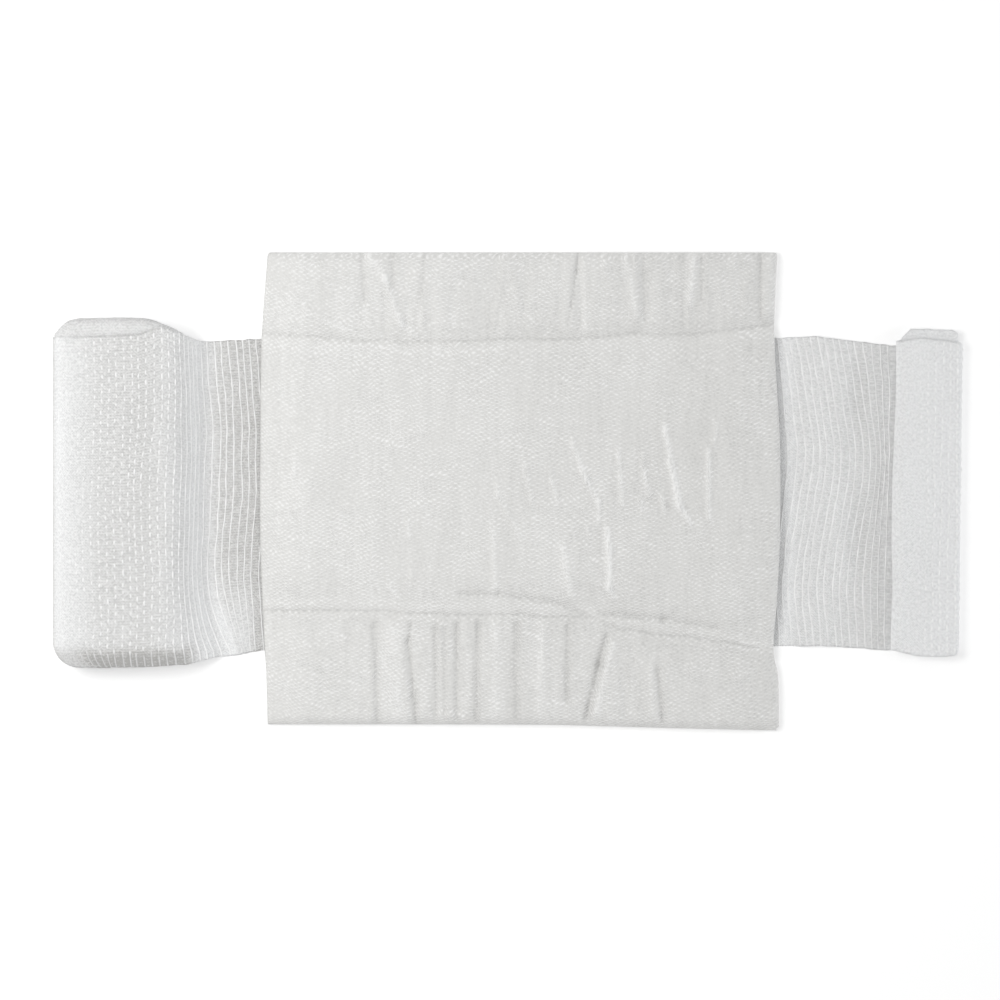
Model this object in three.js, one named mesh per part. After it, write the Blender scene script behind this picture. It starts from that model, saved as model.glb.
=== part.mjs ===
// Wound dressing laid open: an absorbent pad lying across an open-weave bandage that is rolled up at
// one end and wound flat at the other. Millimetres, +Z up.
// Origin: the middle of the pad, on the underside of the bandage, where it rests on the surface.
// +X runs along the bandage from the roll towards the short end, +Y runs across it.

import * as THREE from 'three';

// Materials
const PAD_COLOUR = 0xe4e4e2;
const BANDAGE_COLOUR = 0xe2e2e2;
const ROLL_COLOUR = 0xeaebec;

// Bandage: nominal width, wall and clearances
const BANDAGE_WIDTH = 112.0;
const WALL = 1.0;
const TURN_GAP = 0.4;
const PIECE_GAP = 0.3;
const TURN_PITCH = WALL + TURN_GAP;
const FLOOR_RUN = WALL / 2;

// Pad
const PAD_WIDTH = 180.0;
const PAD_LENGTH = 167.0;
const PAD_THICKNESS = 6.0;
const MARGIN_THICKNESS = 6.0;
const EDGE_THICKNESS = 1.6;
const EDGE_ROUNDING = 3.2;
const SIDE_THINNING = 1.2;
const SIDE_THINNING_REACH = 16.0;
const PAD_BED = WALL + PIECE_GAP;
const BED_UPPER = 54.6;
const BED_LOWER = -57.0;
const BED_SLOPE = 3.0;
const FOLD_DEPTH = 0.9;
const FOLD_WIDTH = 3.0;
const FOLD_SHOULDER = 12.0;
const FOLD_ROW_REACH = 4.5;
const RIB_WIDTH = 2.6;
const RIB_RISE = 0.5;
const PAD_COLUMNS = 45;
const MARGIN_ROWS = 6;
const CENTRE_ROWS = 13;

// Roll at the long end
const ROLL_LEFT = -164.1;
const ROLL_RIGHT = -118.0;
const ROLL_HEIGHT = 16.4;
const ROLL_CROWN = 1.6;
const ROLL_CROWN_REACH = 22.0;
const ROLL_TURNS = 5;
const ROLL_END = -130.0;
const SLOPE_ANGLE = 58;
const TOE_RADIUS = 5.0;
const SLOPE_RUN = 10.0;
const TOE_DRIFT = 7.0;
const TOE_DRIFT_REACH = 15.5;
const TOE_DRIFT_UPPER = -20.0;
const TOE_DRIFT_FALL = 36.0;
const OVERHANG_START = -52.6;
const OVERHANG_REACH = 9.4;
const OVERHANG_CLOSING = 0.41;
const OVERHANG_SAG = 0.38;

// Flat-wound short end
const TAIL_RIGHT = 155.0;
const TAIL_LEFT = 130.8;
const TAIL_INNER_END = 134.6;
const TAIL_SKEW = 1.4;
const TAIL_SKEW_RUN = 14.0;

// Soft waves of the strip between the pad and the short end
const WAVE_START = 92.5;
const WAVE_MIDDLE = 116.5;
const WAVE_END = 129.5;
const FIRST_WAVE = 1.5;
const SECOND_WAVE = 1.1;

// Pad outline: x of the left and right edges up the pad, as shares of half its width.
const SIDE_EDGES = [
  { y: -1.0, left: -0.989, right: 1.004 },
  { y: -0.78, left: -0.994, right: 1.0 },
  { y: -0.67, left: -1.0, right: 0.981 },
  { y: -0.48, left: -1.008, right: 0.993 },
  { y: -0.2, left: -1.018, right: 1.006 },
  { y: 0.2, left: -1.018, right: 1.006 },
  { y: 0.64, left: -1.012, right: 0.985 },
  { y: 1.0, left: -0.989, right: 0.997 },
];

// Fold lines and the lower edge across the pad, as shares of half its length.
const FOLD_LINES = [
  { x: -1.0, upper: 0.662, lower: -0.502, edge: -0.982 },
  { x: -0.63, upper: 0.628, lower: -0.505, edge: -0.982 },
  { x: -0.42, upper: 0.624, lower: -0.515, edge: -0.982 },
  { x: 0.1, upper: 0.635, lower: -0.528, edge: -0.984 },
  { x: 0.26, upper: 0.645, lower: -0.528, edge: -0.988 },
  { x: 0.4, upper: 0.655, lower: -0.583, edge: -0.992 },
  { x: 0.66, upper: 0.66, lower: -0.614, edge: -1.0 },
  { x: 1.0, upper: 0.696, lower: -0.674, edge: -1.008 },
];

// Creases and ribs: ends as shares of half the pad's width and length, width and rise as shares of
// the nominal rib's.
const RIBS = [
  { fromX: 0.01, fromY: 0.11, toX: 0.05, toY: -0.06, width: 1.00, rise: 0.9 },
  { fromX: 0.1, fromY: 0.1, toX: 0.15, toY: -0.06, width: 1.00, rise: 0.8 },
  { fromX: 0.19, fromY: 0.2, toX: 0.3, toY: -0.13, width: 1.08, rise: 1.2 },
  { fromX: 0.376, fromY: 0.17, toX: 0.392, toY: -0.07, width: 1.00, rise: 0.9 },
  { fromX: 0.47, fromY: 0.15, toX: 0.493, toY: -0.03, width: 1.00, rise: 0.8 },
  { fromX: 0.556, fromY: 0.27, toX: 0.595, toY: 0.01, width: 1.08, rise: 1.4 },
  { fromX: 0.595, fromY: 0.01, toX: 0.655, toY: -0.14, width: 1.08, rise: 1.4 },
  { fromX: 0.727, fromY: 0.17, toX: 0.727, toY: -0.12, width: 1.00, rise: 0.8 },
  { fromX: 0.333, fromY: -0.16, toX: 0.35, toY: -0.44, width: 1.08, rise: 1.4 },
  { fromX: 0.18, fromY: -0.23, toX: 0.18, toY: -0.44, width: 1.31, rise: 0.7 },
  { fromX: -0.096, fromY: 0.04, toX: -0.006, toY: -0.2, width: 1.00, rise: 0.8 },
  { fromX: -0.59, fromY: 0.97, toX: -0.42, toY: 0.66, width: 1.08, rise: 1.2 },
  { fromX: -0.84, fromY: 0.75, toX: -0.7, toY: 0.69, width: 1.00, rise: 0.8 },
  { fromX: 0.22, fromY: 0.97, toX: 0.185, toY: 0.72, width: 1.00, rise: -1.0 },
  { fromX: 0.404, fromY: 0.97, toX: 0.447, toY: 0.75, width: 1.23, rise: 1.0 },
  { fromX: 0.669, fromY: 0.97, toX: 0.653, toY: 0.78, width: 1.15, rise: 1.0 },
  { fromX: -0.571, fromY: -0.6, toX: -0.571, toY: -0.95, width: 1.00, rise: -0.9 },
  { fromX: -0.431, fromY: -0.58, toX: -0.408, toY: -0.95, width: 1.00, rise: -1.1 },
  { fromX: -0.252, fromY: -0.58, toX: -0.252, toY: -0.93, width: 1.08, rise: -1.0 },
  { fromX: -0.021, fromY: -0.58, toX: -0.021, toY: -0.93, width: 1.08, rise: -1.0 },
  { fromX: 0.177, fromY: -0.58, toX: 0.177, toY: -0.86, width: 1.08, rise: -0.9 },
  { fromX: 0.32, fromY: -0.64, toX: 0.255, toY: -0.95, width: 1.08, rise: -1.4 },
  { fromX: 0.535, fromY: -0.74, toX: 0.545, toY: -0.95, width: 1.08, rise: -1.0 },
];

// Rows and columns over the rounded edge, as shares of its rounding.
const EDGE_STEPS = [0, 0.16, 0.44, 1].map((share) => share * EDGE_ROUNDING);

// Rows beside a fold line, as shares of the reach on each side of it.
const FOLD_STEPS = [-1, -0.42, 0, 0.42, 1].map((share) => share * FOLD_ROW_REACH);

// Columns across the bandage from its lower edge, closer together over the overhanging edge.
const CROSS_SHARES = [0, 0.03, 0.056, 0.081, 0.22, 0.41, 0.6, 0.8, 1];

function clamp(value, low, high) {
  return Math.min(high, Math.max(low, value));
}

function mix(a, b, share) {
  return a + (b - a) * share;
}

function smooth(share) {
  const t = clamp(share, 0, 1);
  return t * t * (3 - 2 * t);
}

// Value of one column of a table at a key: a smooth curve through the rows.
function lookUp(table, keyName, key, column) {
  let row = 1;
  while (row < table.length - 1 && table[row][keyName] < key) {
    row += 1;
  }
  const slopeAt = (index) => {
    const low = table[Math.max(index - 1, 0)];
    const high = table[Math.min(index + 1, table.length - 1)];
    return (high[column] - low[column]) / (high[keyName] - low[keyName]);
  };
  const before = table[row - 1];
  const after = table[row];
  const gap = after[keyName] - before[keyName];
  const t = clamp((key - before[keyName]) / gap, 0, 1);
  const along = mix(before[column], after[column], t * t * (3 - 2 * t));
  return along + gap * t * (1 - t) * ((1 - t) * slopeAt(row - 1) - t * slopeAt(row));
}

// Pad

const halfWidth = PAD_WIDTH / 2;
const halfLength = PAD_LENGTH / 2;

function sideEdge(y, side) {
  return halfWidth * lookUp(SIDE_EDGES, 'y', y / halfLength, side);
}

function crossLine(x, line) {
  return halfLength * lookUp(FOLD_LINES, 'x', x / halfWidth, line);
}

// Distance from a point to the crease line of one rib.
function distanceToRib(x, y, rib) {
  const startX = rib.fromX * halfWidth;
  const startY = rib.fromY * halfLength;
  const runX = rib.toX * halfWidth - startX;
  const runY = rib.toY * halfLength - startY;
  const along = ((x - startX) * runX + (y - startY) * runY) / (runX * runX + runY * runY);
  const share = clamp(along, 0, 1);
  return Math.hypot(x - startX - share * runX, y - startY - share * runY);
}

// Underside: raised over the bandage, down on the surface past its edges.
function padUnderside(y) {
  const pastUpper = smooth((y - BED_UPPER) / BED_SLOPE);
  const pastLower = smooth((BED_LOWER - y) / BED_SLOPE);
  return PAD_BED * (1 - pastUpper) * (1 - pastLower);
}

// Upper side before the edges are rounded: a level middle, two fold valleys and the margins.
function padUpperSide(x, y) {
  const upperFold = crossLine(x, 'upper');
  const lowerFold = crossLine(x, 'lower');
  const toFold = Math.min(upperFold - y, y - lowerFold);
  const inner = smooth(toFold / FOLD_SHOULDER);
  let height = mix(MARGIN_THICKNESS, PAD_BED + PAD_THICKNESS, inner);
  const toSide = Math.min(x - sideEdge(y, 'left'), sideEdge(y, 'right') - x);
  height -= SIDE_THINNING * (1 - smooth(toSide / SIDE_THINNING_REACH));
  height -= FOLD_DEPTH * Math.exp(-((toFold / FOLD_WIDTH) ** 2));
  for (const rib of RIBS) {
    const away = distanceToRib(x, y, rib) / (rib.width * RIB_WIDTH);
    height += rib.rise * RIB_RISE * Math.exp(-(away ** 2));
  }
  return height;
}

// Upper side with the rounding towards the four edges.
function padTop(x, y) {
  const toSide = Math.min(x - sideEdge(y, 'left'), sideEdge(y, 'right') - x);
  const toEnd = Math.min(halfLength - y, y - crossLine(x, 'edge'));
  const inSide = clamp(toSide / EDGE_ROUNDING, 0, 1);
  const inEnd = clamp(toEnd / EDGE_ROUNDING, 0, 1);
  const rounding = Math.sqrt(1 - (1 - inSide) ** 2) * Math.sqrt(1 - (1 - inEnd) ** 2);
  const underside = padUnderside(y);
  return mix(underside + EDGE_THICKNESS, padUpperSide(x, y), rounding);
}

// Column positions from 0 at the left edge to 1 at the right edge.
function padColumnShares() {
  const shares = EDGE_STEPS.map((step) => step / PAD_WIDTH);
  const inner = PAD_COLUMNS - 2 * EDGE_STEPS.length;
  const start = EDGE_STEPS[EDGE_STEPS.length - 1] / PAD_WIDTH;
  for (let i = 1; i <= inner; i += 1) {
    shares.push(mix(start, 1 - start, i / (inner + 1)));
  }
  for (let i = EDGE_STEPS.length - 1; i >= 0; i -= 1) {
    shares.push(1 - EDGE_STEPS[i] / PAD_WIDTH);
  }
  return shares;
}

// Row positions up the pad at one x: lower edge, margin, fold, middle, fold, margin, upper edge.
function padRows(x) {
  const lowerEdge = crossLine(x, 'edge');
  const lowerFold = crossLine(x, 'lower');
  const upperFold = crossLine(x, 'upper');
  const reach = EDGE_STEPS[EDGE_STEPS.length - 1];
  const fold = FOLD_STEPS[FOLD_STEPS.length - 1];
  const rows = EDGE_STEPS.map((step) => lowerEdge + step);
  for (let i = 1; i < MARGIN_ROWS; i += 1) {
    rows.push(mix(lowerEdge + reach, lowerFold - fold, i / MARGIN_ROWS));
  }
  rows.push(...FOLD_STEPS.map((step) => lowerFold + step));
  for (let i = 1; i < CENTRE_ROWS; i += 1) {
    rows.push(mix(lowerFold + fold, upperFold - fold, i / CENTRE_ROWS));
  }
  rows.push(...FOLD_STEPS.map((step) => upperFold + step));
  for (let i = 1; i < MARGIN_ROWS; i += 1) {
    rows.push(mix(upperFold + fold, halfLength - reach, i / MARGIN_ROWS));
  }
  for (let i = EDGE_STEPS.length - 1; i >= 0; i -= 1) {
    rows.push(halfLength - EDGE_STEPS[i]);
  }
  return rows;
}

// Closed solid between an upper and a lower grid of points with the same rows and columns.
function slabGeometry(upper, lower) {
  const columns = upper.length;
  const rows = upper[0].length;
  const positions = [];
  for (const grid of [upper, lower]) {
    for (const column of grid) {
      for (const point of column) {
        positions.push(...point);
      }
    }
  }
  const top = (i, j) => i * rows + j;
  const bottom = (i, j) => columns * rows + i * rows + j;
  const faces = [];
  const quad = (a, b, c, d) => faces.push(a, b, c, a, c, d);
  for (let i = 0; i < columns - 1; i += 1) {
    for (let j = 0; j < rows - 1; j += 1) {
      quad(top(i, j), top(i + 1, j), top(i + 1, j + 1), top(i, j + 1));
      quad(bottom(i, j), bottom(i, j + 1), bottom(i + 1, j + 1), bottom(i + 1, j));
    }
    quad(bottom(i, 0), bottom(i + 1, 0), top(i + 1, 0), top(i, 0));
    quad(top(i, rows - 1), top(i + 1, rows - 1), bottom(i + 1, rows - 1), bottom(i, rows - 1));
  }
  for (let j = 0; j < rows - 1; j += 1) {
    quad(top(0, j), top(0, j + 1), bottom(0, j + 1), bottom(0, j));
    quad(bottom(columns - 1, j), bottom(columns - 1, j + 1), top(columns - 1, j + 1), top(columns - 1, j));
  }
  const geometry = new THREE.BufferGeometry();
  geometry.setAttribute('position', new THREE.Float32BufferAttribute(positions, 3));
  geometry.setIndex(faces);
  geometry.computeVertexNormals();
  return geometry;
}

function padGeometry() {
  const upper = [];
  const lower = [];
  for (const share of padColumnShares()) {
    const rows = padRows(mix(-halfWidth, halfWidth, share));
    const placed = rows.map((y) => [mix(sideEdge(y, 'left'), sideEdge(y, 'right'), share), y]);
    upper.push(placed.map(([x, y]) => [x, y, padTop(x, y)]));
    lower.push(placed.map(([x, y]) => [x, y, padUnderside(y)]));
  }
  return slabGeometry(upper, lower);
}

// Bandage: its middle line is walked in the XZ plane from one end to the other

// Stations along a run table. A straight run goes on to an x; a bend turns by an angle in degrees,
// positive to the left of the way it goes. Each run reaches the upper and lower edge it states, as
// shares of half the bandage's width.
function walk(start, runs) {
  let { x, z, heading } = start;
  let { upper, lower } = start;
  const stations = [{ ...start }];
  for (const run of runs) {
    const fromX = x;
    const fromZ = z;
    const fromHeading = heading;
    const fromUpper = upper;
    const fromLower = lower;
    for (let i = 1; i <= run.steps; i += 1) {
      const share = i / run.steps;
      if (run.turn === undefined) {
        const length = Math.abs(run.toX - fromX) / Math.abs(Math.cos(fromHeading));
        x = fromX + length * share * Math.cos(fromHeading);
        z = fromZ + length * share * Math.sin(fromHeading);
      } else {
        const turn = THREE.MathUtils.degToRad(run.turn);
        const side = Math.sign(turn) * run.radius;
        heading = fromHeading + turn * share;
        x = fromX + side * (Math.sin(heading) - Math.sin(fromHeading));
        z = fromZ - side * (Math.cos(heading) - Math.cos(fromHeading));
      }
      upper = mix(fromUpper, run.upper, share);
      lower = mix(fromLower, run.lower, share);
      stations.push({ x, z, heading, upper, lower });
    }
  }
  return stations;
}

// Crown of the roll: the higher a turn lies, the more it is lifted, most in the middle of the roll.
function crown(x, z) {
  const middle = (ROLL_LEFT + ROLL_RIGHT) / 2;
  const across = clamp(1 - ((x - middle) / ROLL_CROWN_REACH) ** 2, 0, 1);
  return z + ROLL_CROWN * across * (z / ROLL_HEIGHT) ** 2;
}

// One soft wave of the strip between two places along it.
function wave(x, from, to, height) {
  const share = clamp((x - from) / (to - from), 0, 1);
  return height * Math.sin(Math.PI * share) ** 2;
}

// How the laid bandage settles: crown of the roll, overhanging edge, drift of the slope, waves, skew.
function settleBandage(x, y, z) {
  const middle = (ROLL_LEFT + ROLL_RIGHT) / 2;
  let settledX = x;
  let settledZ = crown(x, z);
  const overhang = clamp((OVERHANG_START - y) / OVERHANG_REACH, 0, 1) ** 2;
  if (x < middle) {
    settledX += (middle - x) * OVERHANG_CLOSING * (1 - Math.sqrt(1 - overhang));
  }
  const onRoll = 1 - smooth((x - ROLL_RIGHT) / SLOPE_RUN);
  settledZ -= Math.max(settledZ - WALL, 0) * OVERHANG_SAG * overhang * onRoll;
  const fromToe = Math.abs(x - ROLL_RIGHT - SLOPE_RUN) / TOE_DRIFT_REACH;
  const low = clamp((TOE_DRIFT_UPPER - y) / TOE_DRIFT_FALL, 0, 1) ** 2;
  settledX += TOE_DRIFT * low * (1 - smooth(fromToe));
  settledZ += wave(x, WAVE_START, WAVE_MIDDLE, FIRST_WAVE) + wave(x, WAVE_MIDDLE, WAVE_END, SECOND_WAVE);
  const down = 0.48 - y / BANDAGE_WIDTH;
  settledX -= TAIL_SKEW * smooth((x - WAVE_MIDDLE) / TAIL_SKEW_RUN) * down;
  return [settledX, y, settledZ];
}

function settleRoll(x, y, z) {
  return [x, y, crown(x, z)];
}

const halfBandage = BANDAGE_WIDTH / 2;

// Closed wall along stations, with columns across it from its lower to its upper edge.
function wallGeometry(stations, crossShares, settle) {
  const left = [];
  const right = [];
  for (const station of stations) {
    const offX = (-Math.sin(station.heading) * WALL) / 2;
    const offZ = (Math.cos(station.heading) * WALL) / 2;
    const across = crossShares.map((share) => mix(station.lower, station.upper, share) * halfBandage);
    left.push(across.map((y) => settle(station.x + offX, y, station.z + offZ)));
    right.push(across.map((y) => settle(station.x - offX, y, station.z - offZ)));
  }
  return slabGeometry(left, right);
}

const tailTop = FLOOR_RUN + 3 * TURN_PITCH;
const tailTurnX = TAIL_RIGHT - WALL / 2 - 1.5 * TURN_PITCH;
const tailFoldX = TAIL_LEFT + WALL / 2 + TURN_PITCH;
const rollTop = ROLL_HEIGHT - WALL / 2;
const outerRadius = (rollTop - FLOOR_RUN) / 2;
const rollLeftX = ROLL_LEFT + WALL / 2 + outerRadius;
const firstInnerRadius = outerRadius - TURN_PITCH / 2;
const rollRightX = ROLL_RIGHT - WALL / 2 - firstInnerRadius;
const shoulderRadius = firstInnerRadius + TURN_PITCH;
const slope = THREE.MathUtils.degToRad(SLOPE_ANGLE);
const shoulderDropX = shoulderRadius * Math.sin(slope);
const slopeDrop = rollTop - FLOOR_RUN - (shoulderRadius + TOE_RADIUS) * (1 - Math.cos(slope));
const slopeFootX = rollRightX + shoulderDropX + slopeDrop / Math.tan(slope);
const toeX = slopeFootX + TOE_RADIUS * Math.sin(slope);

const bandageStart = { x: TAIL_INNER_END, z: tailTop - TURN_PITCH, heading: 0, upper: 1.01, lower: -1.0 };

const bandageRuns = [
  { toX: tailTurnX, steps: 3, upper: 1.01, lower: -1.0 },
  { turn: -180, radius: TURN_PITCH / 2, steps: 5, upper: 1.01, lower: -1.005 },
  { toX: tailFoldX + 2 * TURN_PITCH, steps: 3, upper: 1.01, lower: -1.01 },
  { toX: tailFoldX, steps: 1, upper: 0.94, lower: -1.005 },
  { turn: -180, radius: TURN_PITCH, steps: 6, upper: 0.93, lower: -1.0 },
  { toX: mix(TAIL_LEFT, TAIL_RIGHT, 0.35), steps: 2, upper: 0.954, lower: -1.037 },
  { toX: tailTurnX, steps: 2, upper: 0.927, lower: -1.039 },
  { turn: -180, radius: 1.5 * TURN_PITCH, steps: 7, upper: 0.925, lower: -1.004 },
  { toX: WAVE_END, steps: 3, upper: 0.911, lower: -1.0 },
  { toX: WAVE_MIDDLE, steps: 5, upper: 0.937, lower: -0.985 },
  { toX: mix(WAVE_START, WAVE_MIDDLE, 0.44), steps: 4, upper: 0.968, lower: -0.975 },
  { toX: WAVE_START, steps: 3, upper: 0.957, lower: -0.975 },
  { toX: 0, steps: 2, upper: 0.957, lower: -0.982 },
  { toX: -1.02 * halfWidth, steps: 2, upper: 0.952, lower: -1.004 },
  { toX: toeX, steps: 4, upper: 0.935, lower: -1.034 },
  { turn: -SLOPE_ANGLE, radius: TOE_RADIUS, steps: 4, upper: 0.937, lower: -1.046 },
  { toX: rollRightX + shoulderDropX, steps: 3, upper: 0.972, lower: -1.084 },
  { turn: SLOPE_ANGLE, radius: shoulderRadius, steps: 4, upper: 1.016, lower: -1.095 },
  { toX: mix(rollLeftX, rollRightX, 0.72), steps: 2, upper: 0.965, lower: -1.1 },
  { toX: rollLeftX, steps: 4, upper: 0.955, lower: -1.107 },
  { turn: 180, radius: outerRadius, steps: 11, upper: 0.955, lower: -1.1 },
  { toX: ROLL_END - PIECE_GAP, steps: 3, upper: 0.955, lower: -1.07 },
];

// Upper and lower edges of the wound turns, as shares of half the bandage's width, from the
// outermost half turn inwards.
const ROLL_EDGES = [
  { half: 0, upper: 0.979, lower: -0.929 },
  { half: 1, upper: 0.993, lower: -0.921 },
  { half: 2, upper: 1.011, lower: -0.929 },
  { half: 4, upper: 1.039, lower: -0.911 },
  { half: 6, upper: 1.057, lower: -0.918 },
  { half: 8, upper: 1.068, lower: -0.904 },
  { half: 11, upper: 1.068, lower: -0.909 },
];

const rollStart = { x: ROLL_END, z: FLOOR_RUN, heading: 0, upper: 0.979, lower: -0.929 };

// Half turns of the roll: right bend, run back, left bend, run out, each pair one pitch further in.
function rollRuns() {
  const runs = [];
  for (let half = 0; half < 2 * ROLL_TURNS; half += 1) {
    const radius = firstInnerRadius - (half * TURN_PITCH) / 2;
    const rightHand = half % 2 === 0;
    const upper = lookUp(ROLL_EDGES, 'half', half + 0.5, 'upper');
    const lower = lookUp(ROLL_EDGES, 'half', half + 0.5, 'lower');
    const bendSteps = Math.round(4 + radius * 0.7);
    runs.push({ toX: rightHand ? rollRightX : rollLeftX, steps: half === 0 ? 1 : 4, upper, lower });
    runs.push({ turn: 180, radius, steps: bendSteps, upper, lower });
  }
  runs.push({ toX: rollRightX - 3 * TURN_PITCH, steps: 3, upper: 1.068, lower: -0.909 });
  return runs;
}

function material(colour, roughness) {
  return new THREE.MeshStandardMaterial({ color: colour, roughness, metalness: 0, side: THREE.FrontSide });
}

const group = new THREE.Group();
group.name = 'wound_dressing';

function addPiece(name, geometry, pieceMaterial) {
  const piece = new THREE.Mesh(geometry, pieceMaterial);
  piece.name = name;
  group.add(piece);
}

addPiece('pad', padGeometry(), material(PAD_COLOUR, 0.85));

const bandageWall = wallGeometry(walk(bandageStart, bandageRuns), CROSS_SHARES, settleBandage);
addPiece('bandage', bandageWall, material(BANDAGE_COLOUR, 0.9));

const rollWall = wallGeometry(walk(rollStart, rollRuns()), [0, 0.5, 1], settleRoll);
addPiece('bandage_roll', rollWall, material(ROLL_COLOUR, 0.9));

export default group;
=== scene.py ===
"""Wound dressing laid open, seen from above: an absorbent pad across an open-weave bandage.

Shapes are worked out in millimetres, in the same frame as the solids, and put into the meshes in metres.
The origin is the middle of the pad on the underside of the bandage; +X runs from the roll to the short
end, +Y across the bandage, +Z up.
"""

import math

import bpy
import numpy as np
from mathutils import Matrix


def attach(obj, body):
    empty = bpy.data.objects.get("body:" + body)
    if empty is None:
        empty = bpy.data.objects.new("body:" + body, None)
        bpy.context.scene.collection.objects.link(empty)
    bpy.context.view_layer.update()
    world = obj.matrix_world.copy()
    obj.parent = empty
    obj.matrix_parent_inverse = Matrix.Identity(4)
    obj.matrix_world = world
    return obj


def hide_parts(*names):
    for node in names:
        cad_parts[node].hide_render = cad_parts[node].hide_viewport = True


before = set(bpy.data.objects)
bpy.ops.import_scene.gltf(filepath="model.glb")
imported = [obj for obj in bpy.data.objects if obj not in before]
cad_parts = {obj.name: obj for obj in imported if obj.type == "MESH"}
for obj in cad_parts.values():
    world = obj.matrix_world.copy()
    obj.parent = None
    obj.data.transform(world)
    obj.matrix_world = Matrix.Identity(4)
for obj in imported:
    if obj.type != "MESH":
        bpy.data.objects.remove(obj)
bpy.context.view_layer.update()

MM = 0.001

# Bandage: nominal width, wall of the solid, pitch of the short end's layers, height of the flat run's
# middle line, thickness of the dressed sheet, how far it sinks on the surface, and its ripples
BANDAGE_WIDTH = 112.0
HALF_BANDAGE = BANDAGE_WIDTH / 2
WALL = 1.0
TURN_PITCH = 1.4
FLOOR_RUN = WALL / 2
SHEET_THICKNESS = 0.2
FLOOR_SINK = 0.24
FLOOR_SINK_REACH = 3.0
RIPPLE = 0.16

# Pad: size, edges, bed over the bandage, fold lines and nominal crease
PAD_WIDTH = 180.0
PAD_LENGTH = 167.0
HALF_WIDTH = PAD_WIDTH / 2
HALF_LENGTH = PAD_LENGTH / 2
PAD_THICKNESS = 6.0
MARGIN_THICKNESS = 6.0
EDGE_THICKNESS = 1.6
EDGE_ROUNDING = 3.2
PAD_CORNER = 1.4
SIDE_THINNING = 2.3
SIDE_THINNING_REACH = 16.0
PAD_BED = 1.3
BED_UPPER = 54.6
BED_LOWER = -57.0
BED_SLOPE = 3.0
FOLD_DEPTH = 0.6
FOLD_WIDTH = 1.0
FOLD_SHOULDER = 14.0
LINE_WAVERS = {"edge": 0.0, "upper": 0.5, "lower": 0.45}
MARGIN_BLEND = 5.0
CREASE_WIDTH = 0.8
CREASE_RISE = 0.65
# Painted shade on the pad's underside, fading up its sides
UNDERSIDE_PAINTED_SHADE = -0.4

# Grid of the pad: even steps, and fine steps in from an edge and beside a fold line
PAD_STEP_X = 0.66
PAD_STEP_Y = 1.1
OVER_EDGE = [0.0, 0.15, 0.4, 0.8, 1.4, 2.2, 3.2]
BESIDE_FOLD = [0.0, 0.25, 0.55, 1.0]

# Roll at the long end: outline and crown, the wound turns inside, the slope beside it with the drift
# of its toe, the overhanging lower edge of the outer turn, and where it passes the wound turns' edge
ROLL_LEFT = -164.1
ROLL_RIGHT = -118.0
ROLL_MIDDLE = (ROLL_LEFT + ROLL_RIGHT) / 2
ROLL_HEIGHT = 16.4
ROLL_CROWN = 1.6
ROLL_CROWN_REACH = 22.0
ROLL_END = -130.0
ROLL_END_GAP = 0.3
WOUND_PITCH = 0.32
WOUND_GAP = 0.35
WOUND_CORE = 0.4
WOUND_LOWER = -0.92
SLOPE_ANGLE = 58.0
TOE_RADIUS = 5.0
SLOPE_RUN = 10.0
TOE_DRIFT = 7.0
TOE_DRIFT_REACH = 15.5
TOE_DRIFT_UPPER = -20.0
TOE_DRIFT_FALL = 36.0
OVERHANG_START = -52.6
OVERHANG_REACH = 9.4
OVERHANG_CLOSING = 0.41
OVERHANG_SAG = 0.38
WOUND_EDGE = -47.4
WOUND_EDGE_WAVER = 2.0
WOUND_EDGE_BLEND = 5.0

# Flat-wound short end: outline and inner end, runs that ease its upper edge, skew, corners and the
# wavy fold at its left
TAIL_RIGHT = 155.0
TAIL_LEFT = 130.8
TAIL_INNER_END = 134.6
TAIL_EASE_IN = 1.4
TAIL_EASE = 1.6
TAIL_SKEW = 1.4
TAIL_SKEW_RUN = 14.0
TAIL_SKEW_START = 0.48
TAIL_CORNER = 2.4
TAIL_CORNER_Y = 46.0
TAIL_CORNER_RUN = 8.0
TAIL_WAVER = 0.8
TAIL_WAVER_REACH = 5.0

# Soft waves of the strip between the pad and the short end
WAVE_START = 92.5
WAVE_MIDDLE = 116.5
WAVE_END = 129.5
FIRST_WAVE = 1.5
SECOND_WAVE = 0.3
BULGE_X = 112.0
BULGE_REACH = 5.0

# Raised dots of the pad's cover, in metres: columns apart, and dots apart within a column
DOT_PITCH_X = 0.00143
DOT_PITCH_Y = 0.00135

# Threads: pitch and radius, dashes of the crosswise ones where cloth lies in layers, how far the
# lengthwise ones weave up and down and how deep they lie in layers, and how far apart in the noise two
# neighbours are
CROSS_THREAD_PITCH = 2.6
CROSS_THREAD_RADIUS = 0.34
CROSS_NOISE_ROW = 7.3
DASH_PITCH = 3.1
DASH_LIFT = 0.36
LONG_THREAD_PITCH = 0.95
LONG_THREAD_RADIUS = 0.13
LONG_THREAD_WEAVE = 0.13
LONG_THREAD_SINK = 0.09
LONG_NOISE_ROW = 5.1

# Steps along the middle lines, the cloths and the lengthwise threads
LINE_STEP = 0.4
WOUND_LINE_STEP = 0.8
CLOTH_STEP = 0.6
WOUND_CLOTH_STEP = 1.0
LONG_THREAD_STEP = 0.85

# Lattice of the noise: its size, and the shift that keeps places on it positive
LATTICE_SIZE = 97
LATTICE_SHIFT = 1000.0

# Stage in metres: reach and glow of the floor, glow of the surroundings, and two square soft lights
FLOOR_REACH = 6.0
FLOOR_GLOW = 0.27
WORLD_GLOW = 0.55
LIGHTS = [
    {"name": "key_light", "place": (-0.38, 0.08, 0.56), "size": 0.36, "power": 1.98,
     "colour": (1.0, 1.0, 0.99)},
    {"name": "fill_light", "place": (1.2, -0.08, 0.36), "size": 0.6, "power": 3.5,
     "colour": (0.96, 0.985, 1.0)},
]

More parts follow.
